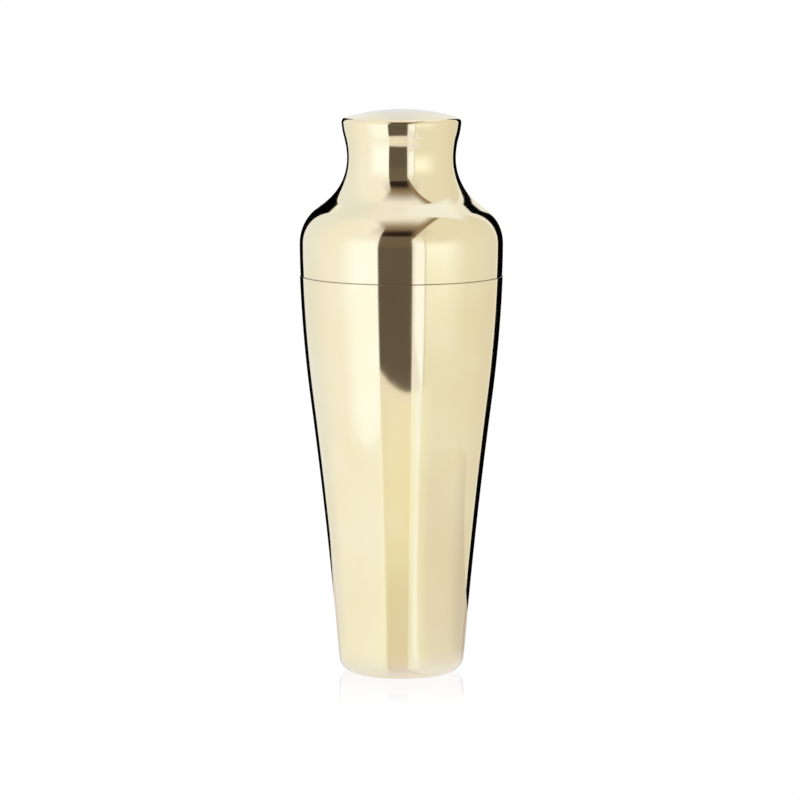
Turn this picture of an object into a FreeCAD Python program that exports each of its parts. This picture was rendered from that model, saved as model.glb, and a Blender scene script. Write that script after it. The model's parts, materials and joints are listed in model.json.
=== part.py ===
import FreeCAD, Part
import math
import os
from collections import namedtuple

import Sketcher
from FreeCAD import Vector

# A two-piece cocktail shaker in polished sheet metal: a tall tapered cup, and a waisted cap
# whose mouth sits on the cup's rim. A thin collar inside the cap's mouth slides into the cup.
#
# Every piece is turned about Z. The origin is the centre of the ring that the cup stands on,
# and +Z points up through the crown of the cap. All lengths are in millimetres and all angles
# in degrees. The cap's two pieces are drawn from the plane of its mouth, which lies on the
# plane of the cup's rim.

DIMENSIONS = (
    # Whole shaker
    ("overall_height", 260.35, "table to the top of the crown"),
    ("cup_height", 184.1, "table to the rim, which is the seam"),
    ("sheet_thickness", 0.8, "wall of the cup and of the cap"),
    # Cup
    ("rim_radius", 46.6, "outside of the rim"),
    ("rim_lean", 2.14, "wall from vertical at the rim"),
    ("upper_wall_radius", 620.4, "bulged upper stretch of the wall"),
    ("wall_bend_height", 126.3, "where the bulged stretch meets the hollow one"),
    ("lower_wall_radius", 2461, "faintly hollow lower stretch of the wall"),
    ("base_corner_radius", 6.8, "between the wall and the foot ring"),
    ("foot_ring_radius", 19.2, "inner edge of the flat ring that stands on the table"),
    ("base_push_up", 1.2, "rise of the base inside the foot ring"),
    ("base_step_radius", 2, "both bends of the step up from the foot ring"),
    ("rim_rounding", 0.25, "both edges of the rim"),
    # Cap shell, with heights from its mouth
    ("mouth_radius", 46.3, "outside of the mouth"),
    ("barrel_radius", 46.66, "widest place of the cap"),
    ("barrel_height", 14.6, "height of the widest place"),
    ("shoulder_bend", 20.2, "from the barrel to the slope of the shoulder"),
    ("neck_bend", 25.1, "from the slope of the shoulder to the waist"),
    ("waist_radius", 24.9, "narrowest place of the neck"),
    ("waist_height", 53.6, "height of the narrowest place"),
    ("flare_bend", 34.3, "from the waist outwards"),
    ("flare_height", 63.0, "where the flare turns back towards the lip"),
    ("lip_bend", 33.9, "from the flare to the crown's corner"),
    ("crown_corner", 2.75, "between the lip and the crown"),
    ("crown_radius", 89, "dome of the crown"),
    ("mouth_rounding", 0.15, "both edges of the mouth"),
    # Collar, with heights from the cap's mouth
    ("collar_thickness", 0.6, "wall of the collar"),
    ("collar_band", 5, "height of the band fixed to the cap shell"),
    ("collar_depth", 16, "reach into the cup"),
    ("collar_taper", 2.1, "wall from vertical, narrowing downwards"),
    ("collar_lead_in", 1.6, "bend of the lower edge"),
    ("collar_turn_in", 62, "turn of the lower edge, inwards"),
)

# The sketcher's own numbers: an arc's centre, the upright axis, and the origin
CENTRE = 3
AXIS = -2
BASELINE = -1
ORIGIN = (-1, 1)

Edge = namedtuple("Edge", "number enter leave start end centre clockwise")


def make_sheet(doc):
    """The driving dimensions, one row each: alias, number, what it is."""
    sheet = doc.addObject("Spreadsheet::Sheet", "Dimensions")
    for row, (alias, value, note) in enumerate(DIMENSIONS, start=1):
        sheet.set(f"A{row}", alias)
        sheet.set(f"B{row}", str(value))
        sheet.set(f"C{row}", note)
        sheet.setAlias(f"B{row}", alias)
    doc.recompute()
    return sheet


def polar(centre, degrees, distance):
    """The point at this distance from centre, with the angle counted up from level."""
    angle = math.radians(degrees)
    return centre[0] + distance * math.cos(angle), centre[1] + distance * math.sin(angle)


def toward(point, target, distance):
    """The point at this distance on the way from one point to another."""
    share = distance / math.dist(point, target)
    return tuple(a + share * (b - a) for a, b in zip(point, target))


class Section:
    """A half section of a sheet metal wall, in a body's XZ plane, for turning about Z.

    The outside is a chain of edges that keeps the metal on its left, and the inside repeats
    it one thickness further in. An edge's enter and leave are the sketch points by which the
    chain reaches and leaves it.
    """

    def __init__(self, body, name, sheet):
        self.sheet = sheet
        self.sketch = body.newObject("Sketcher::SketchObject", name)
        plane = next(f for f in body.Origin.OriginFeatures if f.Role == "XZ_Plane")
        self.sketch.AttachmentSupport = [(plane, "")]
        self.sketch.MapMode = "FlatFace"

    def line(self, start, end):
        number = self.sketch.addGeometry(Part.LineSegment(Vector(*start), Vector(*end)), False)
        return Edge(number, (number, 1), (number, 2), start, end, None, False)

    def arc(self, centre, start, end, clockwise=False):
        """An arc about centre. A sketch stores each arc counter-clockwise."""
        first, last = (end, start) if clockwise else (start, end)
        angles = [math.atan2(p[1] - centre[1], p[0] - centre[0]) for p in (first, last)]
        circle = Part.Circle(Vector(*centre), Vector(0, 0, 1), math.dist(centre, start))
        number = self.sketch.addGeometry(Part.ArcOfCircle(circle, *angles), False)
        ends = ((number, 2), (number, 1)) if clockwise else ((number, 1), (number, 2))
        return Edge(number, *ends, start, end, centre, clockwise)

    def inner(self, edge, thickness):
        """The same edge one thickness further in: a parallel line or a concentric arc."""
        if edge.centre is None:
            run = math.dist(edge.start, edge.end)
            across = (edge.start[1] - edge.end[1]) / run, (edge.end[0] - edge.start[0]) / run
            ends = [
                (p[0] + thickness * across[0], p[1] + thickness * across[1])
                for p in (edge.start, edge.end)
            ]
            copy = self.line(*ends)
            self.rule("Parallel", copy.number, edge.number)
            return copy
        radius = math.dist(edge.centre, edge.start)
        radius += thickness if edge.clockwise else -thickness
        ends = [toward(edge.centre, p, radius) for p in (edge.start, edge.end)]
        copy = self.arc(edge.centre, *ends, edge.clockwise)
        self.rule("Coincident", copy.number, CENTRE, edge.number, CENTRE)
        return copy

    def join(self, edges):
        """Each edge runs smoothly into the next one."""
        for before, after in zip(edges, edges[1:]):
            self.rule("Tangent", *before.leave, *after.enter)

    def close(self, one, other):
        """A straight edge across the wall, between two sketch points."""
        ends = [self.sketch.getPoint(*point) for point in (one, other)]
        edge = self.line(*[(end.x, end.y) for end in ends])
        self.rule("Coincident", *edge.enter, *one)
        self.rule("Coincident", *edge.leave, *other)
        return edge.number

    def rule(self, kind, *references):
        return self.sketch.addConstraint(Sketcher.Constraint(kind, *references))

    def dimension(self, kind, references, value, expression):
        """A dimension that stays bound to the sheet."""
        number = self.rule(kind, *references, value)
        self.sketch.setExpression(f"Constraints[{number}]", expression)

    def radius(self, edge, alias):
        value = self.sheet.get(alias)
        self.dimension("Radius", (edge.number,), value, f"Dimensions.{alias}")

    def out(self, point, alias):
        """The point's distance from the axis."""
        value = self.sheet.get(alias)
        self.dimension("DistanceX", (*ORIGIN, *point), value, f"Dimensions.{alias}")

    def up(self, point, alias):
        """The point's height over the body's own origin."""
        value = self.sheet.get(alias)
        self.dimension("DistanceY", (*ORIGIN, *point), value, f"Dimensions.{alias}")


def cup_section(body, sheet):
    """Wall of the cup, from the middle of its base round to its rim."""
    size = sheet.get
    rise = size("base_push_up")
    step = size("base_step_radius")
    step_reach = step * math.sin(math.acos(1 - rise / (2 * step)))
    ring = (size("foot_ring_radius"), 0)
    step_middle = (ring[0] - step_reach, rise / 2)
    step_top = (ring[0] - 2 * step_reach, rise)

    rim = (size("rim_radius"), size("cup_height"))
    upper_radius = size("upper_wall_radius")
    upper_centre = polar(rim, 180 - size("rim_lean"), upper_radius)
    bend_height = size("wall_bend_height")
    bend_reach = math.sqrt(upper_radius**2 - (upper_centre[1] - bend_height) ** 2)
    bend = (upper_centre[0] + bend_reach, bend_height)
    lower_radius = size("lower_wall_radius")
    lower_centre = toward(upper_centre, bend, upper_radius + lower_radius)

    corner = size("base_corner_radius")
    corner_reach = math.sqrt((lower_radius + corner) ** 2 - (lower_centre[1] - corner) ** 2)
    corner_centre = (lower_centre[0] - corner_reach, corner)
    corner_top = toward(corner_centre, lower_centre, corner)
    foot = (corner_centre[0], 0)

    section = Section(body, "cup_section", sheet)
    base = section.line((0, rise), step_top)
    step_down = section.arc((step_top[0], rise - step), step_top, step_middle, clockwise=True)
    step_out = section.arc((ring[0], step), step_middle, ring)
    foot_ring = section.line(ring, foot)
    base_corner = section.arc(corner_centre, foot, corner_top)
    lower_wall = section.arc(lower_centre, corner_top, bend, clockwise=True)
    upper_wall = section.arc(upper_centre, bend, rim)
    outside = [base, step_down, step_out, foot_ring, base_corner, lower_wall, upper_wall]
    inside = [section.inner(edge, size("sheet_thickness")) for edge in outside]
    section.join(outside)
    section.join(inside)
    section.rule("Horizontal", section.close(upper_wall.leave, inside[-1].leave))
    section.rule("Vertical", section.close(inside[0].enter, base.enter))

    section.rule("PointOnObject", *base.enter, AXIS)
    section.rule("Horizontal", base.number)
    section.rule("Horizontal", foot_ring.number)
    section.rule("PointOnObject", *foot_ring.enter, BASELINE)
    section.rule("Equal", step_down.number, step_out.number)
    section.up(base.enter, "base_push_up")
    section.radius(step_out, "base_step_radius")
    section.out(foot_ring.enter, "foot_ring_radius")
    section.radius(base_corner, "base_corner_radius")
    section.radius(lower_wall, "lower_wall_radius")
    section.up(lower_wall.leave, "wall_bend_height")
    section.radius(upper_wall, "upper_wall_radius")
    section.out(upper_wall.leave, "rim_radius")
    section.up(upper_wall.leave, "cup_height")
    section.dimension(
        "DistanceY",
        (*upper_wall.leave, upper_wall.number, CENTRE),
        upper_centre[1] - rim[1],
        "Dimensions.upper_wall_radius * sin(Dimensions.rim_lean * 1 deg)",
    )
    section.dimension(
        "DistanceY",
        (*base.enter, *inside[0].enter),
        size("sheet_thickness"),
        "Dimensions.sheet_thickness",
    )
    return section.sketch


# The cap's barrel is an arc from the mouth to the widest place, where the wall is upright.
SWELL = "(Dimensions.barrel_radius - Dimensions.mouth_radius)"
BARREL_ARC = f"((Dimensions.barrel_height ^ 2 + {SWELL} ^ 2) / (2 * {SWELL}))"


def barrel_curve(size):
    """Centre and radius of the outside of the barrel, as BARREL_ARC gives them."""
    swell = size("barrel_radius") - size("mouth_radius")
    radius = (size("barrel_height") ** 2 + swell**2) / (2 * swell)
    return (size("barrel_radius") - radius, size("barrel_height")), radius


def cap_section(body, sheet):
    """Wall of the cap, from its mouth up to the middle of its crown."""
    size = sheet.get
    top = size("overall_height") - size("cup_height")
    mouth = (size("mouth_radius"), 0)
    barrel_centre, _ = barrel_curve(size)
    widest = (size("barrel_radius"), size("barrel_height"))
    waist = (size("waist_radius"), size("waist_height"))

    # The shoulder's slope is the straight line that touches the bends above and below it.
    shoulder_centre = (widest[0] - size("shoulder_bend"), widest[1])
    neck_centre = (waist[0] + size("neck_bend"), waist[1])
    across, along = (n - s for n, s in zip(neck_centre, shoulder_centre))
    off = math.acos((size("shoulder_bend") + size("neck_bend")) / math.hypot(across, along))
    slope_normal = math.degrees(math.atan2(along, across) - off)
    slope_foot = polar(shoulder_centre, slope_normal, size("shoulder_bend"))
    slope_head = polar(neck_centre, slope_normal, -size("neck_bend"))

    flare_centre = (waist[0] + size("flare_bend"), waist[1])
    flare_reach = math.sqrt(size("flare_bend") ** 2 - (size("flare_height") - waist[1]) ** 2)
    flare_end = (flare_centre[0] - flare_reach, size("flare_height"))
    lip_centre = toward(flare_centre, flare_end, size("flare_bend") + size("lip_bend"))

    # The crown's corner touches the lip and the dome from inside.
    crown_centre = (0, top - size("crown_radius"))
    from_lip = size("lip_bend") - size("crown_corner")
    from_crown = size("crown_radius") - size("crown_corner")
    gap = math.dist(crown_centre, lip_centre)
    along_gap = (from_crown**2 - from_lip**2 + gap**2) / (2 * gap)
    gap_angle = math.atan2(lip_centre[1] - crown_centre[1], lip_centre[0] - crown_centre[0])
    corner_angle = math.degrees(gap_angle - math.acos(along_gap / from_crown))
    corner_centre = polar(crown_centre, corner_angle, from_crown)
    lip_end = toward(lip_centre, corner_centre, size("lip_bend"))
    crown_edge = toward(crown_centre, corner_centre, size("crown_radius"))

    section = Section(body, "cap_section", sheet)
    barrel = section.arc(barrel_centre, mouth, widest)
    shoulder = section.arc(shoulder_centre, widest, slope_foot)
    slope = section.line(slope_foot, slope_head)
    neck = section.arc(neck_centre, slope_head, waist, clockwise=True)
    flare = section.arc(flare_centre, waist, flare_end, clockwise=True)
    lip = section.arc(lip_centre, flare_end, lip_end)
    corner = section.arc(corner_centre, lip_end, crown_edge)
    crown = section.arc(crown_centre, crown_edge, (0, top))
    outside = [barrel, shoulder, slope, neck, flare, lip, corner, crown]
    inside = [section.inner(edge, size("sheet_thickness")) for edge in outside]
    section.join(outside)
    section.join(inside)
    section.rule("Horizontal", section.close(inside[0].enter, barrel.enter))
    section.rule("Vertical", section.close(crown.leave, inside[-1].leave))

    section.rule("PointOnObject", *barrel.enter, BASELINE)
    section.rule("PointOnObject", *crown.leave, AXIS)
    section.rule("PointOnObject", crown.number, CENTRE, AXIS)
    section.rule("Horizontal", *shoulder.enter, shoulder.number, CENTRE)
    section.rule("Horizontal", *flare.enter, flare.number, CENTRE)
    section.out(barrel.enter, "mouth_radius")
    section.out(shoulder.enter, "barrel_radius")
    section.up(shoulder.enter, "barrel_height")
    section.radius(shoulder, "shoulder_bend")
    section.radius(neck, "neck_bend")
    section.out(flare.enter, "waist_radius")
    section.up(flare.enter, "waist_height")
    section.radius(flare, "flare_bend")
    section.up(lip.enter, "flare_height")
    section.radius(lip, "lip_bend")
    section.radius(corner, "crown_corner")
    section.radius(crown, "crown_radius")
    section.dimension(
        "DistanceY",
        (*ORIGIN, *crown.leave),
        top,
        "Dimensions.overall_height - Dimensions.cup_height",
    )
    section.dimension(
        "DistanceY",
        (*inside[-1].leave, *crown.leave),
        size("sheet_thickness"),
        "Dimensions.sheet_thickness",
    )
    return section.sketch


def collar_section(body, sheet):
    """Wall of the collar: a band on the cap's inner wall, a taper and a turned-in edge."""
    size = sheet.get
    barrel_centre, barrel_arc = barrel_curve(size)
    band_radius = barrel_arc - size("sheet_thickness")

    def on_band(height):
        reach = math.sqrt(band_radius**2 - (barrel_centre[1] - height) ** 2)
        return barrel_centre[0] + reach, height

    taper = size("collar_taper")
    turn = size("collar_turn_in")
    lead_in = size("collar_lead_in")
    bend_drop = lead_in * (math.sin(math.radians(taper + turn)) - math.sin(math.radians(taper)))
    taper_run = (size("collar_depth") - bend_drop) / math.cos(math.radians(taper))
    seam = on_band(0)
    taper_foot = polar(seam, 270 - taper, taper_run)
    bend_centre = polar(taper_foot, 180 - taper, lead_in)
    tip = polar(bend_centre, -taper - turn, lead_in)

    section = Section(body, "collar_section", sheet)
    bend = section.arc(bend_centre, tip, taper_foot)
    wall = section.line(taper_foot, seam)
    band = section.arc(barrel_centre, seam, on_band(size("collar_band")))
    bend_in, wall_in, band_in = (
        section.inner(edge, size("collar_thickness")) for edge in (bend, wall, band)
    )
    section.join([bend, wall])
    section.join([bend_in, wall_in])
    section.rule("Coincident", *wall.leave, *band.enter)
    section.rule("Coincident", *wall_in.leave, *band_in.enter)
    section.rule("Horizontal", section.close(band.leave, band_in.leave))
    lower_edge = section.close(bend_in.enter, bend.enter)
    section.rule("PointOnObject", bend.number, CENTRE, lower_edge)

    section.rule("PointOnObject", *band.enter, BASELINE)
    section.up(band.leave, "collar_band")
    section.up((band.number, CENTRE), "barrel_height")
    section.dimension(
        "DistanceX",
        (band.number, CENTRE, *ORIGIN),
        -barrel_centre[0],
        f"{BARREL_ARC} - Dimensions.barrel_radius",
    )
    section.dimension(
        "Radius",
        (band.number,),
        band_radius,
        f"{BARREL_ARC} - Dimensions.sheet_thickness",
    )
    section.dimension(
        "Radius",
        (band_in.number,),
        band_radius - size("collar_thickness"),
        f"{BARREL_ARC} - Dimensions.sheet_thickness - Dimensions.collar_thickness",
    )
    section.dimension(
        "Angle",
        (wall.number,),
        math.radians(90 - taper),
        "90 deg - Dimensions.collar_taper * 1 deg",
    )
    section.radius(bend, "collar_lead_in")
    section.dimension(
        "Radius",
        (bend_in.number,),
        lead_in - size("collar_thickness"),
        "Dimensions.collar_lead_in - Dimensions.collar_thickness",
    )
    section.dimension(
        "DistanceY", (*bend.enter, *ORIGIN), size("collar_depth"), "Dimensions.collar_depth"
    )
    section.dimension(
        "Angle", (bend.number,), math.radians(turn), "Dimensions.collar_turn_in * 1 deg"
    )
    return section.sketch


def edges_at(shape, height):
    """Names of the round edges at this height."""
    level = 1e-6
    return [
        f"Edge{number}"
        for number, edge in enumerate(shape.Edges, start=1)
        if max(abs(edge.BoundBox.ZMin - height), abs(edge.BoundBox.ZMax - height)) < level
    ]


def turned_body(doc, name, section, sheet):
    """A body named for its piece, with its wall's section turned about the axis."""
    body = doc.addObject("PartDesign::Body", name)
    body.Label = name
    wall = body.newObject("PartDesign::Revolution", f"{name}_wall")
    wall.Profile = section(body, sheet)
    wall.ReferenceAxis = (wall.Profile[0], ["V_Axis"])
    wall.Angle = 360
    doc.recompute()
    return body, wall


def round_sheet(doc, body, wall, height, alias):
    """Rounds both edges of the sheet where the wall ends at this height."""
    rounding = body.newObject("PartDesign::Fillet", f"{body.Name}_rounding")
    rounding.Base = (wall, edges_at(wall.Shape, height))
    rounding.setExpression("Radius", f"Dimensions.{alias}")
    doc.recompute()


def shaker_cup(doc, sheet):
    body, wall = turned_body(doc, "shaker_cup", cup_section, sheet)
    round_sheet(doc, body, wall, sheet.get("cup_height"), "rim_rounding")
    return body


def cap_shell(doc, sheet):
    body, wall = turned_body(doc, "cap_shell", cap_section, sheet)
    round_sheet(doc, body, wall, 0, "mouth_rounding")
    body.setExpression("Placement.Base.z", "Dimensions.cup_height")
    return body


def cap_collar(doc, sheet):
    body, _ = turned_body(doc, "cap_collar", collar_section, sheet)
    body.setExpression("Placement.Base.z", "Dimensions.cup_height")
    return body


def check(doc, bodies):
    """Stops before any file is written if something did not build."""
    for item in doc.Objects:
        if {"Invalid", "Error"} & set(item.State):
            raise RuntimeError(f"{item.Name} did not build: {item.State}")
        if item.isDerivedFrom("Sketcher::SketchObject") and not item.FullyConstrained:
            raise RuntimeError(f"{item.Name} is not fully constrained")
    for body in bodies:
        if body.Shape.isNull() or not body.Shape.isValid() or len(body.Shape.Solids) != 1:
            raise RuntimeError(f"{body.Label} is not one valid solid")


def main():
    doc = FreeCAD.newDocument("cocktail_shaker")
    sheet = make_sheet(doc)
    bodies = [make(doc, sheet) for make in (shaker_cup, cap_shell, cap_collar)]
    doc.recompute()
    check(doc, bodies)
    os.makedirs("parts", exist_ok=True)
    for body in bodies:
        body.Shape.exportStep(f"parts/{body.Label}.step")


main()
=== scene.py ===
import json
import math
from collections import namedtuple

import bpy
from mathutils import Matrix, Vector


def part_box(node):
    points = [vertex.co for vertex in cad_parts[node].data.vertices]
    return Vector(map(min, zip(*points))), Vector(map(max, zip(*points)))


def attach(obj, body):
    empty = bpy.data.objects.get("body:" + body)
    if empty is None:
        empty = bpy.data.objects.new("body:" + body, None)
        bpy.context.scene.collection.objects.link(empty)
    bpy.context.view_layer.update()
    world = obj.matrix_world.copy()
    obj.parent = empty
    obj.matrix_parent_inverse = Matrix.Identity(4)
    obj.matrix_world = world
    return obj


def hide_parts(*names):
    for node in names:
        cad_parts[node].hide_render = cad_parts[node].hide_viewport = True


# A two-piece cocktail shaker in polished, pale gold-plated sheet steel: a tall tapered cup,
# a waisted cap with a domed crown, and a thin satin collar inside the cap's mouth.
#
# Every piece is a wall section turned about Z. Sections are worked out in millimetres, as
# (distance from the axis, height), and the meshes made from them are in metres.

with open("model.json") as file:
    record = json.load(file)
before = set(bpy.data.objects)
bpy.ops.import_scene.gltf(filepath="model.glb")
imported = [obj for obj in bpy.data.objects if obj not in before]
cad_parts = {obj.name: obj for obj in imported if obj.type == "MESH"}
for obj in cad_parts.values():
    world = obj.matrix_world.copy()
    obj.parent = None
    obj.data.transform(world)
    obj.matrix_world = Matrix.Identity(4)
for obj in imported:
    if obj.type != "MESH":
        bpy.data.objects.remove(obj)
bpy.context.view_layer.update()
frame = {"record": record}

MM = 0.001
SEAM_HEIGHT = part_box("shaker_cup")[1].z / MM
TOP_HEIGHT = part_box("cap_shell")[1].z / MM

# Sheet metal
WALL = 0.8
RIM_ROUNDING = 0.25
MOUTH_ROUNDING = 0.15
COLLAR_WALL = 0.6

# Cup, with heights from the table
RIM_RADIUS = 46.6
RIM_LEAN = math.radians(2.14)
UPPER_WALL_RADIUS = 620.4
WALL_BEND_HEIGHT = 126.3
LOWER_WALL_RADIUS = 2461
BASE_CORNER = 6.8
FOOT_RING_RADIUS = 19.2
BASE_PUSH_UP = 1.2
BASE_STEP = 2

# Cap, with heights from its mouth
CAP_HEIGHT = TOP_HEIGHT - SEAM_HEIGHT
MOUTH_RADIUS = 46.3
BARREL_RADIUS = 46.66
BARREL_HEIGHT = 14.6
SHOULDER_BEND = 20.2
NECK_BEND = 25.1
WAIST_RADIUS = 24.9
WAIST_HEIGHT = 53.6
FLARE_BEND = 34.3
FLARE_HEIGHT = 63.0
LIP_BEND = 33.9
CROWN_CORNER = 2.75
CROWN_RADIUS = 89

# Collar, with heights from the cap's mouth
COLLAR_BAND = 5
COLLAR_DEPTH = 16
COLLAR_TAPER = math.radians(2.1)
COLLAR_LEAD_IN = 1.6
COLLAR_TURN_IN = math.radians(62)

# How finely the walls are divided, and the gap that two edges of one wall may leave
SEGMENTS = 256
FINEST_TURN = math.radians(3)
LONGEST_STEP = 2.5
JOIN_GAP = 0.02
QUARTER = math.pi / 2

# Material slots on every piece
GOLD, STEEL = 0, 1


# ---------------------------------------------------------------- wall sections

# A section is a walk along edges that keeps the metal on its left, so that the surface faces
# to the right of the walk. An arc's angles count up from level, and a hollow arc runs backwards.
Arc = namedtuple("Arc", "centre radius start end")
Line = namedtuple("Line", "start end")
Edge = namedtuple("Edge", "shape finish")


def polar(centre, angle, distance):
    return centre[0] + distance * math.cos(angle), centre[1] + distance * math.sin(angle)


def bearing(centre, point):
    return math.atan2(point[1] - centre[1], point[0] - centre[0])


def samples(shape):
    """Points along an edge, each with the way that the surface faces there."""
    if isinstance(shape, Line):
        run = math.dist(shape.start, shape.end)
        rise, reach = shape.end[1] - shape.start[1], shape.end[0] - shape.start[0]
        facing = (rise / run, -reach / run)
        return [(shape.start, facing), (shape.end, facing)]
    turn = shape.end - shape.start
    count = math.ceil(abs(turn) * max(1 / FINEST_TURN, shape.radius / LONGEST_STEP))
    angles = [shape.start + turn * step / count for step in range(count + 1)]
    side = math.copysign(1, turn)
    return [
        (polar(shape.centre, angle, shape.radius), (side * math.cos(angle), side * math.sin(angle)))
        for angle in angles
    ]


def inner_side(shapes, thickness):
    """The same walk one sheet thickness further in, and backwards."""
    walk = []
    for shape in reversed(shapes):
        if isinstance(shape, Line):
            (_, facing), _ = samples(shape)
            start, end = (
                (point[0] - thickness * facing[0], point[1] - thickness * facing[1])
                for point in (shape.end, shape.start)
            )
            walk.append(Line(start, end))
        else:
            radius = shape.radius - math.copysign(thickness, shape.end - shape.start)
            walk.append(Arc(shape.centre, radius, shape.end, shape.start))
    return walk


def cup_edges():
    """The cup's wall, from the middle of its base up the outside and down the inside."""
    step_turn = math.acos(1 - BASE_PUSH_UP / (2 * BASE_STEP))
    step_reach = 2 * BASE_STEP * math.sin(step_turn)
    step_top = (FOOT_RING_RADIUS - step_reach, BASE_PUSH_UP)

    rim = (RIM_RADIUS, SEAM_HEIGHT)
    upper_centre = polar(rim, math.pi - RIM_LEAN, UPPER_WALL_RADIUS)
    upper_start = math.asin((WALL_BEND_HEIGHT - upper_centre[1]) / UPPER_WALL_RADIUS)
    lower_centre = polar(upper_centre, upper_start, UPPER_WALL_RADIUS + LOWER_WALL_RADIUS)
    corner_reach = LOWER_WALL_RADIUS + BASE_CORNER
    corner_turn = math.asin((BASE_CORNER - lower_centre[1]) / corner_reach)
    corner_centre = polar(lower_centre, math.pi - corner_turn, corner_reach)

    rounding_height = SEAM_HEIGHT - RIM_ROUNDING - upper_centre[1]
    outer_reach = UPPER_WALL_RADIUS - RIM_ROUNDING
    inner_reach = UPPER_WALL_RADIUS - WALL + RIM_ROUNDING
    outer_end = math.asin(rounding_height / outer_reach)
    inner_end = math.asin(rounding_height / inner_reach)
    outer_rounding = polar(upper_centre, outer_end, outer_reach)
    inner_rounding = polar(upper_centre, inner_end, inner_reach)

    base = [
        Line((0, BASE_PUSH_UP), step_top),
        Arc((step_top[0], BASE_PUSH_UP - BASE_STEP), BASE_STEP, QUARTER, QUARTER - step_turn),
        Arc((FOOT_RING_RADIUS, BASE_STEP), BASE_STEP, -QUARTER - step_turn, -QUARTER),
        Line((FOOT_RING_RADIUS, 0), (corner_centre[0], 0)),
        Arc(corner_centre, BASE_CORNER, -QUARTER, -corner_turn),
        Arc(lower_centre, LOWER_WALL_RADIUS, math.pi - corner_turn, math.pi + upper_start),
    ]
    outside = base + [Arc(upper_centre, UPPER_WALL_RADIUS, upper_start, outer_end)]
    to_inside = base + [Arc(upper_centre, UPPER_WALL_RADIUS, upper_start, inner_end)]
    rim_edge = [
        Arc(outer_rounding, RIM_ROUNDING, outer_end, QUARTER),
        Line((outer_rounding[0], SEAM_HEIGHT), (inner_rounding[0], SEAM_HEIGHT)),
        Arc(inner_rounding, RIM_ROUNDING, QUARTER, math.pi + inner_end),
    ]
    gold = [Edge(shape, GOLD) for shape in outside + rim_edge]
    return gold + [Edge(shape, STEEL) for shape in inner_side(to_inside, WALL)]


def cap_barrel():
    """Centre and radius of the cap's barrel, which is upright at its widest place."""
    swell = BARREL_RADIUS - MOUTH_RADIUS
    radius = (BARREL_HEIGHT**2 + swell**2) / (2 * swell)
    return (BARREL_RADIUS - radius, BARREL_HEIGHT), radius


def cap_edges():
    """The cap's wall, from the middle of its crown down the inside and up the outside."""
    barrel_centre, barrel_radius = cap_barrel()
    rounding_height = MOUTH_ROUNDING - BARREL_HEIGHT
    outer_reach = barrel_radius - MOUTH_ROUNDING
    inner_reach = barrel_radius - WALL + MOUTH_ROUNDING
    outer_start = math.asin(rounding_height / outer_reach)
    inner_start = math.asin(rounding_height / inner_reach)
    outer_rounding = polar(barrel_centre, outer_start, outer_reach)
    inner_rounding = polar(barrel_centre, inner_start, inner_reach)

    # The slope of the shoulder touches the bend below it and the hollow bend above it.
    shoulder_centre = (BARREL_RADIUS - SHOULDER_BEND, BARREL_HEIGHT)
    neck_centre = (WAIST_RADIUS + NECK_BEND, WAIST_HEIGHT)
    lean = math.acos((SHOULDER_BEND + NECK_BEND) / math.dist(shoulder_centre, neck_centre))
    slope = bearing(shoulder_centre, neck_centre) - lean
    slope_foot = polar(shoulder_centre, slope, SHOULDER_BEND)
    slope_head = polar(neck_centre, slope + math.pi, NECK_BEND)

    flare_centre = (WAIST_RADIUS + FLARE_BEND, WAIST_HEIGHT)
    flare_turn = math.asin((FLARE_HEIGHT - WAIST_HEIGHT) / FLARE_BEND)
    lip_centre = polar(flare_centre, math.pi - flare_turn, FLARE_BEND + LIP_BEND)

    # The corner of the crown touches the lip and the dome from inside.
    crown_centre = (0, CAP_HEIGHT - CROWN_RADIUS)
    from_lip = LIP_BEND - CROWN_CORNER
    from_crown = CROWN_RADIUS - CROWN_CORNER
    gap = math.dist(crown_centre, lip_centre)
    turn = math.acos((from_crown**2 + gap**2 - from_lip**2) / (2 * gap * from_crown))
    crown_start = bearing(crown_centre, lip_centre) - turn
    corner_centre = polar(crown_centre, crown_start, from_crown)
    lip_end = bearing(lip_centre, corner_centre)

    above = [
        Arc(shoulder_centre, SHOULDER_BEND, 0, slope),
        Line(slope_foot, slope_head),
        Arc(neck_centre, NECK_BEND, slope + math.pi, math.pi),
        Arc(flare_centre, FLARE_BEND, math.pi, math.pi - flare_turn),
        Arc(lip_centre, LIP_BEND, -flare_turn, lip_end),
        Arc(corner_centre, CROWN_CORNER, lip_end, crown_start),
        Arc(crown_centre, CROWN_RADIUS, crown_start, QUARTER),
    ]
    outside = [Arc(barrel_centre, barrel_radius, outer_start, 0)] + above
    to_inside = [Arc(barrel_centre, barrel_radius, inner_start, 0)] + above
    mouth_edge = [
        Arc(inner_rounding, MOUTH_ROUNDING, math.pi + inner_start, 3 * QUARTER),
        Line((inner_rounding[0], 0), (outer_rounding[0], 0)),
        Arc(outer_rounding, MOUTH_ROUNDING, -QUARTER, outer_start),
    ]
    steel = [Edge(shape, STEEL) for shape in inner_side(to_inside, WALL)]
    return steel + [Edge(shape, GOLD) for shape in mouth_edge + outside]


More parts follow.
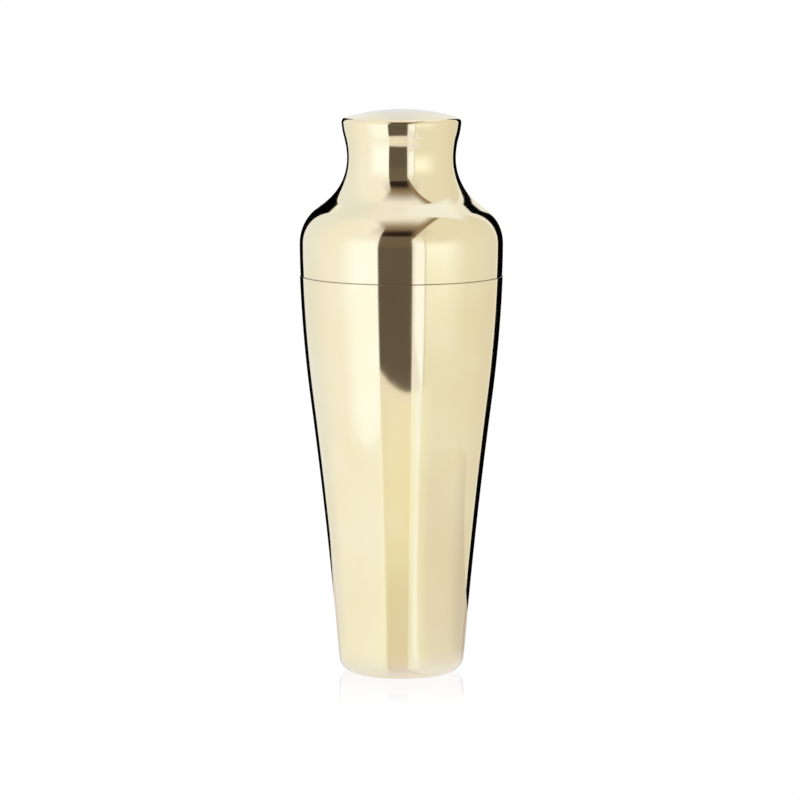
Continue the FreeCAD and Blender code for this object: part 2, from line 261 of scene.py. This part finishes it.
def collar_edges():
    """The collar's wall: a band on the cap's inner wall, a taper and a turned-in lower edge."""
    half = COLLAR_WALL / 2
    barrel_centre, barrel_radius = cap_barrel()
    band_radius = barrel_radius - WALL
    band_start = math.asin(-BARREL_HEIGHT / band_radius)
    band_end = math.asin((COLLAR_BAND - half - BARREL_HEIGHT) / (band_radius - half))
    seam = polar(barrel_centre, band_start, band_radius)

    tip = COLLAR_TAPER + COLLAR_TURN_IN
    bend_drop = COLLAR_LEAD_IN * (math.sin(tip) - math.sin(COLLAR_TAPER))
    taper_run = (COLLAR_DEPTH - bend_drop) / math.cos(COLLAR_TAPER)
    taper_foot = polar(seam, 3 * QUARTER - COLLAR_TAPER, taper_run)
    bend_centre = polar(taper_foot, math.pi - COLLAR_TAPER, COLLAR_LEAD_IN)
    bend_end = math.asin(half / (COLLAR_LEAD_IN - half)) - tip

    lower = [
        Arc(bend_centre, COLLAR_LEAD_IN, bend_end, -COLLAR_TAPER),
        Line(taper_foot, seam),
    ]
    band = [Arc(barrel_centre, band_radius, band_start, band_end)]
    top = polar(barrel_centre, band_end, band_radius - half)
    foot = polar(bend_centre, bend_end, COLLAR_LEAD_IN - half)
    top_edge = Arc(top, half, band_end, band_end + math.pi)
    foot_edge = Arc(foot, half, bend_end - math.pi, bend_end)
    inside = inner_side(band, COLLAR_WALL) + inner_side(lower, COLLAR_WALL)
    walk = lower + band + [top_edge] + inside + [foot_edge]
    return [Edge(shape, STEEL) for shape in walk]


# ---------------------------------------------------------------- meshes

Span = namedtuple("Span", "start end start_facing end_facing finish")


def spans_of(edges):
    """The whole walk as short straight spans, each with the facing at both of its ends."""
    spans = []
    for edge in edges:
        points = samples(edge.shape)
        for (start, start_facing), (end, end_facing) in zip(points, points[1:]):
            spans.append(Span(start, end, start_facing, end_facing, edge.finish))
    for before, after in zip(spans, spans[1:]):
        if math.dist(before.end, after.start) > JOIN_GAP:
            raise ValueError(f"the wall has a gap at {before.end}")
    return spans


def turned(name, edges, lift, finishes):
    """A closed mesh of revolution, lifted by so many millimetres, with exact normals."""
    spans = spans_of(edges)
    stops = [spans[0].start] + [span.end for span in spans]
    if stops[0][0] > 0 and math.dist(stops[0], stops[-1]) < JOIN_GAP:
        stops.pop()
    angles = [2 * math.pi * step / SEGMENTS for step in range(SEGMENTS)]
    ways = [(math.cos(angle), math.sin(angle)) for angle in angles]

    vertices = []
    rings = []
    for out, up in stops:
        height = (up + lift) * MM
        first = len(vertices)
        if out < JOIN_GAP:
            vertices.append((0, 0, height))
            rings.append([first] * SEGMENTS)
        else:
            vertices.extend((out * MM * x, out * MM * y, height) for x, y in ways)
            rings.append(list(range(first, first + SEGMENTS)))

    faces = []
    normals = []
    slots = []
    for number, span in enumerate(spans):
        lower, upper = rings[number], rings[(number + 1) % len(rings)]
        for step in range(SEGMENTS):
            after = (step + 1) % SEGMENTS
            corners = [
                (lower[step], span.start_facing, ways[step]),
                (lower[after], span.start_facing, ways[after]),
                (upper[after], span.end_facing, ways[after]),
                (upper[step], span.end_facing, ways[step]),
            ]
            if lower[step] == lower[after]:
                corners.pop(0)
            if upper[step] == upper[after]:
                corners.pop()
            faces.append([vertex for vertex, _, _ in corners])
            normals.extend(
                (facing[0] * x, facing[0] * y, facing[1]) for _, facing, (x, y) in corners
            )
            slots.append(span.finish)

    mesh = bpy.data.meshes.new(name)
    mesh.from_pydata(vertices, [], faces)
    for finish in finishes:
        mesh.materials.append(finish)
    mesh.polygons.foreach_set("material_index", slots)
    mesh.polygons.foreach_set("use_smooth", [True] * len(faces))
    mesh.normals_split_custom_set(normals)
    piece = bpy.data.objects.new(name, mesh)
    bpy.context.scene.collection.objects.link(piece)
    return piece


# ---------------------------------------------------------------- node graphs


class Graph:
    """A node tree whose inputs take sockets, numbers or colours alike."""

    def __init__(self, owner):
        owner.use_nodes = True
        self.tree = owner.node_tree
        self.tree.nodes.clear()

    def node(self, kind, inputs, **settings):
        node = self.tree.nodes.new(f"ShaderNode{kind}")
        for name, value in settings.items():
            setattr(node, name, value)
        for key, value in inputs.items():
            socket = node.inputs[key]
            if isinstance(value, bpy.types.NodeSocket):
                self.tree.links.new(value, socket)
            elif socket.type == "RGBA":
                socket.default_value = (*value, 1)
            else:
                socket.default_value = value
        return node

    def output(self, kind, shader):
        self.node(f"Output{kind}", {"Surface": shader})

    def math(self, operation, *values):
        return self.node("Math", dict(enumerate(values)), operation=operation).outputs[0]

    def vector(self, operation, *values):
        return self.node("VectorMath", dict(enumerate(values)), operation=operation)

    def ramp(self, value, low, high, to_low=0.0, to_high=1.0):
        """A smooth change from to_low to to_high while value goes from low to high."""
        inputs = {0: value, 1: low, 2: high, 3: to_low, 4: to_high}
        return self.node("MapRange", inputs, interpolation_type="SMOOTHSTEP").outputs[0]

    def fall(self, value, low, high):
        """1 below low, 0 above high and a smooth change between them."""
        return self.ramp(value, low, high, 1.0, 0.0)

    def within(self, value, low, high, soft):
        """1 between low and high and 0 outside, over edges as wide as 2 x soft."""
        rise = self.ramp(value, low - soft, low + soft)
        fall = self.fall(value, high - soft, high + soft)
        return self.both(rise, fall)

    def both(self, one, other):
        """Where two fields overlap, each of them 1 inside and 0 outside."""
        return self.math("MULTIPLY", one, other)

    def mix(self, share, one, other):
        """The first colour where share is 0, and the other where it is 1."""
        # A Mix node keeps its colours in the inputs 6 and 7 and in the output 2.
        inputs = {0: share, 6: one, 7: other}
        return self.node("Mix", inputs, data_type="RGBA").outputs[2]

    def changing(self, value, colour, changes):
        """The colour, giving way to the next one as value goes through each change's span."""
        for span, following in changes:
            colour = self.mix(self.ramp(value, *span), colour, following)
        return colour

    def degrees(self, operation, *values):
        """The angle from an inverse function, in degrees."""
        return self.math("MULTIPLY", self.math(operation, *values), math.degrees(1))


# ---------------------------------------------------------------- metals

# What shows in the gold: the spacing, breadth and depth of its marks and patches in metres, the
# range of the noise that each one fades over, and what each adds to the roughness
GOLD_MARKS = 0.0011
GOLD_MARK_WRAPS = 4
GOLD_MARK_DEPTH = 0.0000004
GOLD_MARK_ROUGHNESS = 0.02
PLATING = 0.035
PLATING_RANGE = (0.3, 0.7)
PLATING_DEEP = (0.985, 0.975, 0.94)
PLATING_PALE = 0.06
SMEARS = 0.012
SMEAR_RANGE = (0.35, 0.75)
SMEAR_ROUGHNESS = 0.022
WAVES = 0.03
WAVE_DEPTH = 0.00003
GOLD_ROUGHNESS = 0.05

# The painted shade at the seam, standing in for the shadow in the groove between cup and cap: the
# distances from it over which it fades, in metres, and how dark it is
SEAM_SHADE_FADE = (0.0002, 0.00036)
SEAM_PAINTED_SHADE = (0.55, 0.55, 0.55)

# What shows in the steel, in the same way
STEEL_MARKS = 0.0005
STEEL_MARK_WRAPS = 3
STEEL_MARK_DEPTH = 0.000004
STEEL_MARK_ROUGHNESS = 0.14
STEEL_BANDS = 0.004
STEEL_BAND_WRAPS = 2
STEEL_TONE_RANGE = (0.35, 0.65)
STEEL_DARK = (0.9, 0.9, 0.9)
STEEL_PALE = 0.15
STAINS = 0.02
STAIN_ROUGHNESS = 0.06
STEEL_ROUGHNESS = 0.2
STEEL_MIRROR_SHARE = 0.75


def turned_coordinates(graph):
    """The place, the way out from the axis as a unit vector, the distance out, and the height."""
    point = graph.node("TexCoord", {}).outputs["Object"]
    flat = graph.vector("MULTIPLY", point, (1, 1, 0)).outputs["Vector"]
    around = graph.vector("NORMALIZE", flat).outputs["Vector"]
    out = graph.vector("LENGTH", flat).outputs["Value"]
    height = graph.node("SeparateXYZ", {0: point}).outputs["Z"]
    return point, around, out, height


def turning_marks(graph, around, out, height, spacing, wraps):
    """Fine lines round the axis, spacing metres apart, that fade in and out on the way round.

    The more wraps there are, the more often they fade.
    """
    along = graph.vector("SCALE", around)
    along.inputs["Scale"].default_value = wraps
    lift = graph.node("CombineXYZ", {"Z": graph.math("DIVIDE", height, spacing)}).outputs[0]
    place = graph.vector("ADD", along.outputs["Vector"], lift).outputs["Vector"]
    inputs = {
        "Vector": place,
        "W": graph.math("DIVIDE", out, spacing),
        "Scale": 1.0,
        "Detail": 3.0,
        "Roughness": 0.6,
    }
    return graph.node("TexNoise", inputs, noise_dimensions="4D").outputs[0]


def clouds(graph, point, size, detail=2.0):
    """Soft patches about size metres across."""
    inputs = {"Vector": point, "Scale": 1 / size, "Detail": detail}
    return graph.node("TexNoise", inputs).outputs[0]


def bumped(graph, height, distance, normal=None):
    inputs = {"Strength": 1.0, "Distance": distance, "Height": height}
    if normal is not None:
        inputs["Normal"] = normal
    return graph.node("Bump", inputs).outputs["Normal"]


def shaded(colour, shade):
    return [channel * part for channel, part in zip(colour, shade)]


def paled(colour, share):
    return [channel + (1 - channel) * share for channel in colour]


def polished_gold(colour):
    """Mirror polish with a trace of the turning, uneven plating, and a painted shade darkening the
    groove at the seam.
    """
    material = bpy.data.materials.new("polished_gold")
    graph = Graph(material)
    point, around, out, height = turned_coordinates(graph)
    marks = turning_marks(graph, around, out, height, GOLD_MARKS, GOLD_MARK_WRAPS)
    patches = graph.ramp(clouds(graph, point, PLATING), *PLATING_RANGE)
    plating = graph.mix(patches, shaded(colour, PLATING_DEEP), paled(colour, PLATING_PALE))
    smears = graph.ramp(clouds(graph, point, SMEARS, detail=4.0), *SMEAR_RANGE)
    roughness = graph.math("MULTIPLY_ADD", smears, SMEAR_ROUGHNESS, GOLD_ROUGHNESS)
    waviness = bumped(graph, clouds(graph, point, WAVES, detail=1.0), WAVE_DEPTH)
    # Painted shade: the colour darkens in a thin band round the seam, where the groove between cup
    # and cap lies in shadow.
    from_seam = graph.math("ABSOLUTE", graph.math("SUBTRACT", height, SEAM_HEIGHT * MM))
    painted_seam_shade = graph.fall(from_seam, *SEAM_SHADE_FADE)
    shader = graph.node(
        "BsdfPrincipled",
        {
            "Base Color": graph.mix(painted_seam_shade, plating, shaded(colour, SEAM_PAINTED_SHADE)),
            "Metallic": 1.0,
            "Roughness": graph.math("MULTIPLY_ADD", marks, GOLD_MARK_ROUGHNESS, roughness),
            "Normal": bumped(graph, marks, GOLD_MARK_DEPTH, waviness),
        },
    )
    graph.output("Material", shader.outputs[0])
    return material


def satin_steel(colour):
    """Bare stainless steel, whose fine brushing scatters part of the light evenly."""
    material = bpy.data.materials.new("satin_steel")
    graph = Graph(material)
    point, around, out, height = turned_coordinates(graph)
    marks = turning_marks(graph, around, out, height, STEEL_MARKS, STEEL_MARK_WRAPS)
    bands = turning_marks(graph, around, out, height, STEEL_BANDS, STEEL_BAND_WRAPS)
    average = graph.math("MULTIPLY_ADD", bands, 0.5, graph.math("MULTIPLY", marks, 0.5))
    tone = graph.ramp(average, *STEEL_TONE_RANGE)
    stains = clouds(graph, point, STAINS, detail=3.0)
    roughness = graph.math("MULTIPLY_ADD", marks, STEEL_MARK_ROUGHNESS, STEEL_ROUGHNESS)
    shader = graph.node(
        "BsdfPrincipled",
        {
            "Base Color": graph.mix(tone, shaded(colour, STEEL_DARK), paled(colour, STEEL_PALE)),
            "Metallic": STEEL_MIRROR_SHARE,
            "Roughness": graph.math("MULTIPLY_ADD", stains, STAIN_ROUGHNESS, roughness),
            "Normal": bumped(graph, marks, STEEL_MARK_DEPTH),
        },
    )
    graph.output("Material", shader.outputs[0])
    return material


# ---------------------------------------------------------------- studio

# Places in the studio are in degrees: heights from level, and turns from straight ahead or
# straight behind, which grow to the right. Only a slant, and the fades along it, are in parts of
# a direction's length. Colours are strengths of red, green and blue.
#
# A panel covers a span of turns and one of heights, with edges softened by one half width across
# and one up and down. A box or a card stands on the left, where its side is -1, or on the right,
# and its own turns grow to that side.
Panel = namedtuple("Panel", "colour across heights soft")
Box = namedtuple("Box", "side near slant fade colour bright rear")
Card = namedtuple("Card", "side near far leaning narrowing top")

# Past straight down and straight up, and past straight behind, for what has no edge there
BOTTOM, TOP = -99, 99
PAST_BEHIND = 181

# The open room upward from its floor, as the span that each change takes and its new colour
OPEN_FLOOR = (0.86, 0.84, 0.88)
OPEN_ROOM = (
    ((-29, -25.5), (0.126, 0.105, 0.088)),
    ((2, 14), (0.16, 0.132, 0.1)),
    ((33, 38), (0.03, 0.02, 0.015)),
)

# The ceiling in the same way, but by the angle from straight ahead up over the shaker
CEILING = (
    ((44, 60), (0.27, 0.21, 0.15)),
    ((56, 92), (0.95, 0.97, 1.02)),
)

# The dark gap over the right box
GAP = (0.3, 0.22, 0.15)
GAP_ACROSS = (15, 112)
GAP_SOFT = 8
GAP_FADE = (0.05, 0.45)

# The soft boxes, each with a bright part in the middle of its front and a rear of its own
BOX_SOFT = 0.8
LEFT_BOX = Box(
    side=-1,
    near=26.7,
    slant=2.5,
    fade=(-0.05, 0.35),
    colour=(1.0, 1.03, 1.05),
    bright=Panel((1.12, 1.22, 1.36), (0, 65), (-30, 21), (16, 12)),
    rear=Panel((0.88, 0.93, 1.0), (110, 200), (BOTTOM, TOP), (28, 1)),
)
RIGHT_BOX = Box(
    side=1,
    near=12.5,
    slant=-2.25,
    fade=(-0.03, 0.03),
    colour=(0.88, 0.88, 0.8),
    bright=Panel((1.1, 1.17, 1.15), (0, 65), (-11, 16), (20, 10)),
    rear=Panel((0.81, 0.8, 0.73), (110, 200), (BOTTOM, TOP), (28, 1)),
)

# The near upper corner of both boxes, and the top of the right one behind the shaker
BOX_CORNER = Panel((0.68, 0.67, 0.67), (0, 38), (40, TOP), (12, 14))
RIGHT_BOX_TOP = Panel((1.0, 1.06, 1.2), (115, 172), (46, 80), (10, 8))

# A narrow strip at the near edge of the right box, and the line of its frame
STRIP_FAR = 26.3
STRIP = Panel((1.1, 1.18, 1.35), (RIGHT_BOX.near, STRIP_FAR), (BOTTOM, 22), (BOX_SOFT, 14))
FRAME_LINE = Panel((0.76, 0.74, 0.68), (STRIP_FAR, 28), (BOTTOM, 36), (0.6, 6))

# The strip's dim part, with the turns and the heights over which it ends. Below a height it
# grows by so many degrees of turn for each degree down.
STRIP_DIM = (0.93, 0.96, 1.04)
DIM_FADE = (13.0, 17.5)
DIM_TOP = (8, 36)
WIDENS_BELOW = -15.5
WIDENING = 2.0

# The backdrop, then its raised part and the middle of that
BACKDROP_ACROSS = (-32, 42)
BACKDROP_TOP = 45
BACKDROP = (
    Panel((1.15, 1.15, 1.15), BACKDROP_ACROSS, (BOTTOM, BACKDROP_TOP), (3, 14)),
    Panel((0.92, 0.95, 1.0), BACKDROP_ACROSS, (6, BACKDROP_TOP), (3, 3)),
    Panel((0.82, 0.87, 1.0), (-4, 4), (6, BACKDROP_TOP), (3, 3)),
)

# The black cards. A near edge leans by CARD_LEAN degrees of turn for each degree up.
LEFT_CARD = Card(side=-1, near=5, far=31, leaning=32, narrowing=0.0, top=32)
RIGHT_CARD = Card(side=1, near=11, far=40, leaning=18, narrowing=0.2, top=35)
CARD_LEAN = 0.55
CARD_NEAR_SOFT = 1.5
CARD_SOFT = 1

BLACK = (0.0, 0.0, 0.0)
WHITE = (1.0, 1.0, 1.0)


def soft_studio(scene):
    """A white room with a soft box on either side, seen in the metal.

    Ahead of the shaker, where the picture is taken from, the room stays open and dark. Black
    cards stand behind it on both sides, and give its outline an edge.
    """
    world = bpy.data.worlds.new("soft_studio")
    scene.world = world
    graph = Graph(world)
    way = graph.node("TexCoord", {}).outputs["Generated"]
    right, back, up = graph.node("SeparateXYZ", {0: way}).outputs
    ahead = graph.math("MULTIPLY", back, -1.0)
    from_ahead = graph.degrees("ARCTAN2", right, ahead)
    from_behind = graph.degrees("ARCTAN2", right, back)
    rise = graph.degrees("ARCSINE", up)
    overhead = graph.degrees("ARCTAN2", up, ahead)

    def with_panel(under, panel, turn):
        field = graph.both(
            graph.within(turn, *panel.across, panel.soft[0]),
            graph.within(rise, *panel.heights, panel.soft[1]),
        )
        return graph.mix(field, under, panel.colour)

    def slanting(box):
        """The height, changed by the way to the right so that a box can lean over the shaker."""
        return graph.math("MULTIPLY_ADD", right, box.slant, up)

    def with_box(under, box):
        """A soft box from its near edge round to behind, up to where its slant fades out."""
        turn = graph.math("MULTIPLY", from_ahead, float(box.side))
        lit = with_panel(box.colour, box.rear, turn)
        lit = with_panel(lit, box.bright, turn)
        lit = with_panel(lit, BOX_CORNER, turn)
        field = graph.both(
            graph.within(turn, box.near, PAST_BEHIND, BOX_SOFT),
            graph.fall(slanting(box), *box.fade),
        )
        return graph.mix(field, under, lit)

    def with_card(under, card):
        """A black card behind the shaker, as high as its top.

        Its near edge leans outward up to the height leaning, and its far edge leans inward by
        the share narrowing.
        """
        turn = graph.math("MULTIPLY", from_behind, float(card.side))
        climb = graph.math("MAXIMUM", rise, 0.0)
        lean = graph.math("MULTIPLY", graph.math("MINIMUM", climb, card.leaning), CARD_LEAN)
        from_lean = graph.math("SUBTRACT", turn, lean)
        past_near = graph.ramp(from_lean, card.near - CARD_NEAR_SOFT, card.near + CARD_NEAR_SOFT)
        narrower = graph.math("MULTIPLY_ADD", climb, card.narrowing, turn)
        before_far = graph.fall(narrower, card.far - CARD_SOFT, card.far + CARD_SOFT)
        below = graph.fall(rise, card.top - CARD_SOFT, card.top + CARD_SOFT)
        return graph.mix(graph.both(graph.both(past_near, before_far), below), under, BLACK)

    light = graph.changing(rise, OPEN_FLOOR, OPEN_ROOM)
    light = graph.changing(overhead, light, CEILING)

    # The two boxes lean over the shaker, with the gap above the one on the right
    gap = graph.both(
        graph.within(from_ahead, *GAP_ACROSS, GAP_SOFT),
        graph.fall(slanting(RIGHT_BOX), *GAP_FADE),
    )
    light = graph.mix(gap, light, GAP)
    light = with_box(light, LEFT_BOX)
    light = with_box(light, RIGHT_BOX)
    light = with_panel(light, RIGHT_BOX_TOP, from_ahead)

    light = with_panel(light, STRIP, from_ahead)
    lower = graph.math("MINIMUM", graph.math("SUBTRACT", rise, WIDENS_BELOW), 0.0)
    widened = graph.math("MULTIPLY_ADD", lower, WIDENING, from_ahead)
    dim = graph.both(
        graph.ramp(from_ahead, RIGHT_BOX.near - BOX_SOFT, RIGHT_BOX.near + BOX_SOFT),
        graph.fall(widened, *DIM_FADE),
    )
    dim = graph.both(dim, graph.fall(rise, *DIM_TOP))
    light = graph.mix(dim, light, STRIP_DIM)
    light = with_panel(light, FRAME_LINE, from_ahead)

    for panel in BACKDROP:
        light = with_panel(light, panel, from_behind)
    light = with_card(light, LEFT_CARD)
    light = with_card(light, RIGHT_CARD)

    # The picture itself stays white round the shaker, and so does the mirror of the table.
    path = graph.node("LightPath", {})
    plain = graph.math("MAXIMUM", path.outputs["Is Camera Ray"], path.outputs["Is Singular Ray"])
    shader = graph.node("Background", {"Color": graph.mix(plain, light, WHITE)})
    graph.output("World", shader.outputs[0])


# Table, in metres: its corners from the front left, with the left box standing over its edge
TABLE_CORNERS = (
    (-0.21, -0.44),
    (0.36, -0.35),
    (0.36, 0.05),
    (0.02, 0.142),
    (-0.38, 0.34),
    (-0.38, -0.02),
    (-0.29, -0.18),
    (-0.147, -0.29),
)

# The light and shade painted on the table as its glow, which the metal sees: near the shaker, far
# from it, and the spans of distance in metres that lie between
TABLE_AHEAD = (1.23, 1.2, 0.98)
TABLE_AHEAD_FAR = (1.22, 1.17, 1.1)
TABLE_AHEAD_SPAN = (0.31, 0.42)
TABLE_RIGHT = (0.97, 0.85, 0.77)
TABLE_RIGHT_FAR = (1.03, 0.93, 0.81)
TABLE_RIGHT_SPAN = (0.24, 0.36)
TABLE_LEFT = (1.16, 1.08, 1.03)
TABLE_LEFT_BEHIND = (1.02, 0.95, 0.92)
TABLE_BEHIND = (0.78, 0.66, 0.6)
TABLE_FOOT = (1.05, 1.0, 1.15)
TABLE_FOOT_SPAN = (0.025, 0.07)

# The spans of turn, in degrees from straight ahead, between its colours, from the left behind
TO_LEFT = (-130, -95)
TO_AHEAD = (-40, -10)
TO_RIGHT = (5, 45)
TO_BEHIND = (70, 115)
TO_LEFT_BEHIND = (150, 180)

# A painted shadow of the shaker on the table in front of it, and a painted strip of light, each
# across a span of turns with soft edges. The painted shadow ends over a span of distance.
TABLE_PAINTED_SHADOW = (1.06, 1.0, 0.82)
TABLE_PAINTED_SHADOW_ACROSS = (-22, 16)
TABLE_PAINTED_SHADOW_SOFT = 6
TABLE_PAINTED_SHADOW_SPAN = (0.1, 0.24)
TABLE_PAINTED_LIGHT_STRIP = (1.22, 1.19, 1.25)
TABLE_PAINTED_LIGHT_STRIP_ACROSS = (17, 23.5)
TABLE_PAINTED_LIGHT_STRIP_SOFT = 1.5

# The gloss that the metal sees in the table, and the faint mirror that the picture shows, which
# fades over a span of distance
GLOSS = (0.5, 0.85, 1.0)
GLOSS_SHARE = 0.25
GLOSS_ROUGHNESS = 0.1
MIRROR_SHARE = 0.18
MIRROR_SPAN = (0.02, 0.09)


def table_finish():
    """White, with a faint mirror of the shaker's foot; the metal sees light and shade painted into
    its glow.
    """
    material = bpy.data.materials.new("white_table")
    graph = Graph(material)
    point = graph.node("TexCoord", {}).outputs["Object"]
    right, back, _ = graph.node("SeparateXYZ", {0: point}).outputs
    ahead = graph.math("MULTIPLY", back, -1.0)
    away = graph.vector("LENGTH", point).outputs["Value"]
    turn = graph.degrees("ARCTAN2", right, ahead)

    mirror = graph.node("BsdfAnisotropic", {"Color": WHITE, "Roughness": 0.0}).outputs[0]
    share = graph.ramp(away, *MIRROR_SPAN, MIRROR_SHARE, 0.0)
    white = graph.node("Emission", {"Color": WHITE}).outputs[0]
    seen = graph.node("MixShader", {0: share, 1: white, 2: mirror}).outputs[0]

    # The table's glow is painted light and shade, set by the turn round the shaker and the distance
    # from it.
    table_ahead = graph.changing(away, TABLE_AHEAD, [(TABLE_AHEAD_SPAN, TABLE_AHEAD_FAR)])
    table_right = graph.changing(away, TABLE_RIGHT, [(TABLE_RIGHT_SPAN, TABLE_RIGHT_FAR)])
    round_the_shaker = (
        (TO_LEFT, TABLE_LEFT),
        (TO_AHEAD, table_ahead),
        (TO_RIGHT, table_right),
        (TO_BEHIND, TABLE_BEHIND),
        (TO_LEFT_BEHIND, TABLE_LEFT_BEHIND),
    )
    colour = graph.changing(turn, TABLE_LEFT_BEHIND, round_the_shaker)
    # Painted shadow: the shaker's shadow on the table darkens its glow in front of the shaker.
    shade = graph.both(
        graph.within(turn, *TABLE_PAINTED_SHADOW_ACROSS, TABLE_PAINTED_SHADOW_SOFT),
        graph.fall(away, *TABLE_PAINTED_SHADOW_SPAN),
    )
    colour = graph.mix(shade, colour, TABLE_PAINTED_SHADOW)
    # Painted light: a bright strip of light on the table, which the lower cup shows.
    painted_light_strip = graph.within(turn, *TABLE_PAINTED_LIGHT_STRIP_ACROSS, TABLE_PAINTED_LIGHT_STRIP_SOFT)
    colour = graph.mix(painted_light_strip, colour, TABLE_PAINTED_LIGHT_STRIP)
    colour = graph.changing(away, TABLE_FOOT, [(TABLE_FOOT_SPAN, colour)])
    painted_table_light = graph.node("Emission", {"Color": colour}).outputs[0]
    gloss = graph.node("BsdfAnisotropic", {"Color": GLOSS, "Roughness": GLOSS_ROUGHNESS}).outputs[0]
    lit = graph.node("MixShader", {0: GLOSS_SHARE, 1: painted_table_light, 2: gloss}).outputs[0]

    camera = graph.node("LightPath", {}).outputs["Is Camera Ray"]
    front = graph.node("MixShader", {0: camera, 1: lit, 2: seen}).outputs[0]
    clear = graph.node("BsdfTransparent", {}).outputs[0]
    underneath = graph.node("NewGeometry", {}).outputs["Backfacing"]
    both_sides = graph.node("MixShader", {0: underneath, 1: front, 2: clear}).outputs[0]
    graph.output("Material", both_sides)
    return material


def table():
    mesh = bpy.data.meshes.new("table")
    mesh.from_pydata([(x, y, 0) for x, y in TABLE_CORNERS], [], [range(len(TABLE_CORNERS))])
    mesh.materials.append(table_finish())
    top = bpy.data.objects.new("table", mesh)
    bpy.context.scene.collection.objects.link(top)
    return top


# Camera, in metres, and its lens in millimetres
CAMERA_PLACE = Vector((0, -1.850, 0.36863))
CAMERA_AIM = Vector((-0.0007, 0, 0.1262))
CAMERA_LENS = 182.39


def camera(scene):
    data = bpy.data.cameras.new("camera")
    data.lens = CAMERA_LENS
    eye = bpy.data.objects.new("camera", data)
    eye.location = CAMERA_PLACE
    eye.rotation_euler = (CAMERA_AIM - CAMERA_PLACE).to_track_quat("-Z", "Y").to_euler()
    scene.collection.objects.link(eye)
    scene.camera = eye


# ---------------------------------------------------------------- the shaker

colours = {entry["slot"]: entry["base_color"] for entry in frame["record"]["materials"]}
gold = polished_gold(colours["polished_gold"])
steel = satin_steel(colours["collar_steel"])

cup = turned("cup", cup_edges(), 0, (gold, steel))
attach(cup, "cup")
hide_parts("shaker_cup")

cap = turned("cap", cap_edges(), SEAM_HEIGHT, (gold, steel))
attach(cap, "cap")
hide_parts("cap_shell")

collar = turned("collar", collar_edges(), SEAM_HEIGHT, (gold, steel))
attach(collar, "cap")
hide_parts("cap_collar")

scene = bpy.context.scene
scene.view_settings.view_transform = "Standard"
soft_studio(scene)
camera(scene)
table()
